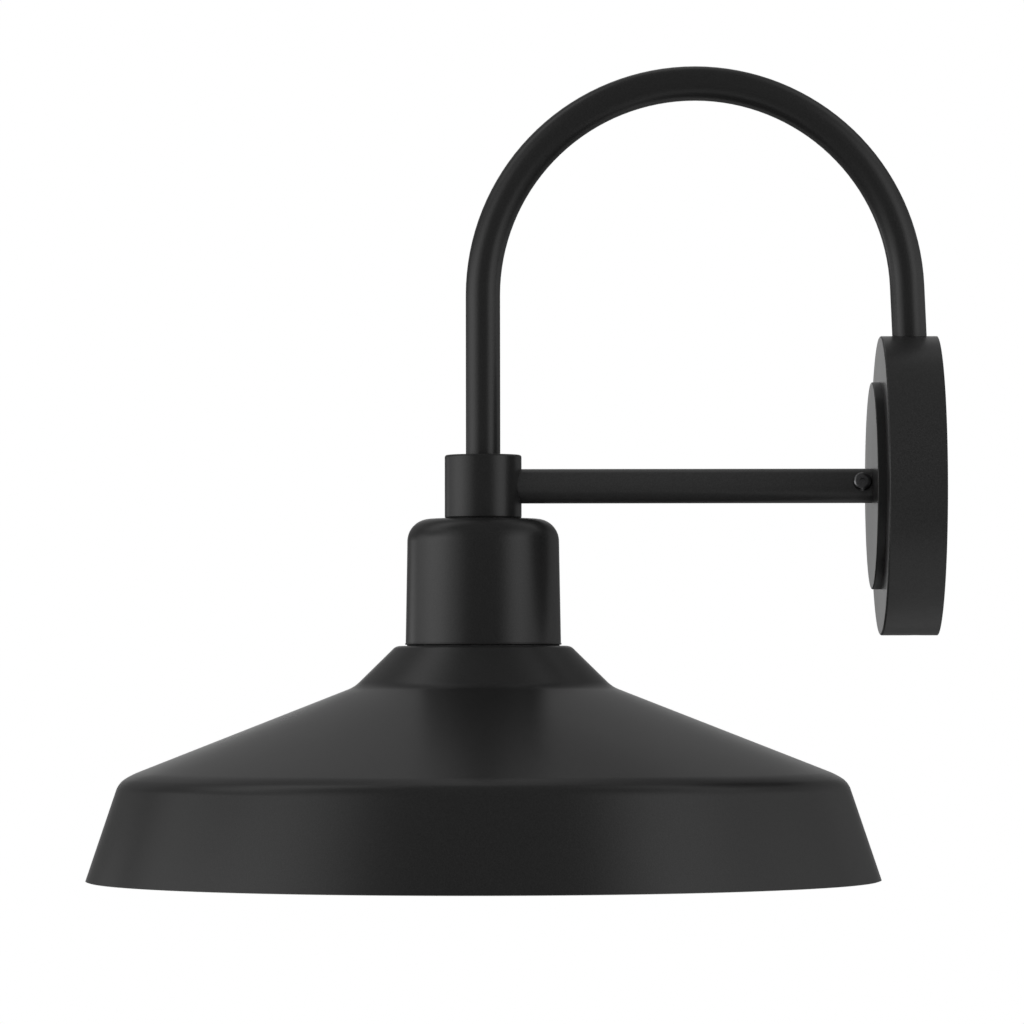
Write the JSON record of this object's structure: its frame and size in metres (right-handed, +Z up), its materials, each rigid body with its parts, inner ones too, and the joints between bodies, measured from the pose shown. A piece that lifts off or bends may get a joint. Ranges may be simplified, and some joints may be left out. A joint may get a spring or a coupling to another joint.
{
  "type": "barn light",
  "caption": "Black gooseneck barn light: round wall canopy, straight brace, hub, socket cap and wide spun shade over a screw-in bulb.",
  "frame": {"origin": "centre of the canopy's back, on the wall plane", "axes": "+Y into the wall, +Z up, +X sideways; the shade's axis is vertical at Y -0.2313"},
  "size_m": [0.4045, 0.4335, 0.4154],
  "materials": {
    "black_powder_coat": "satin black powder coat with a fine grain",
    "white_enamel": "gloss white enamel on the inside of the shade",
    "zinc_steel": "zinc plated",
    "black_screw": "black oxide",
    "green_screw": "green passivated",
    "brass": "bare brass",
    "porcelain": "glazed white porcelain",
    "black_foam": "closed-cell foam",
    "black_insulation": "satin",
    "white_insulation": "satin",
    "green_insulation": "satin",
    "copper": "tinned copper strands",
    "frosted_glass": "frosted inside",
    "bulb_aluminium": "rolled thread",
    "black_glass": "fused insulator"
  },
  "bodies": {
    "fixture": {"canopy": "black_powder_coat", "wall_gasket": "black_foam", "mounting_plate": "zinc_steel", "canopy_lock_screw": "black_screw", "ground_lead": "green_insulation", "ground_screw": "green_screw", "arm_plate": "black_powder_coat", "brace_spigot": "zinc_steel", "spigot_washer": "zinc_steel", "spigot_nut": "zinc_steel", "brace_tube": "black_powder_coat", "brace_lock_screw": "black_screw", "gooseneck_pipe": "black_powder_coat", "gooseneck_washer": "zinc_steel", "gooseneck_nut": "zinc_steel", "hub_collar": "black_powder_coat", "cap_nipple": "zinc_steel", "nipple_washer": "zinc_steel", "nipple_locknut": "zinc_steel", "socket_cap": "black_powder_coat", "lampholder_bracket": "zinc_steel", "lampholder_body": "porcelain", "lampholder_screws": "zinc_steel", "screw_shell": "brass", "centre_contact": "brass", "terminal_screws": "brass", "live_lead": "black_insulation", "neutral_lead": "white_insulation", "lead_tips": "copper", "shade_gasket": "black_foam", "shade": "black_powder_coat", "shade_washers": "zinc_steel", "shade_screws": "zinc_steel"},
    "bulb_tip": {"bulb_contact": "brass"},
    "bulb": {"bulb_insulator": "black_glass", "bulb_base": "bulb_aluminium", "bulb_glass": "frosted_glass"}
  },
  "joints": [
    {"name": "bulb_travel", "type": "slide", "parent": "fixture", "child": "bulb_tip", "axis": [0, 0, -1], "range_m": [0, 0.01815]},
    {"name": "bulb_turn", "type": "hinge", "parent": "bulb_tip", "child": "bulb", "pos_m": [0, -0.2313, -0.1], "axis": [0, 0, -1], "range_deg": [0, 1800]}
  ],
  "couplings": [
    {"joint": "bulb_travel", "follows": "bulb_turn", "m_per_rad": 0.00057757}
  ]
}
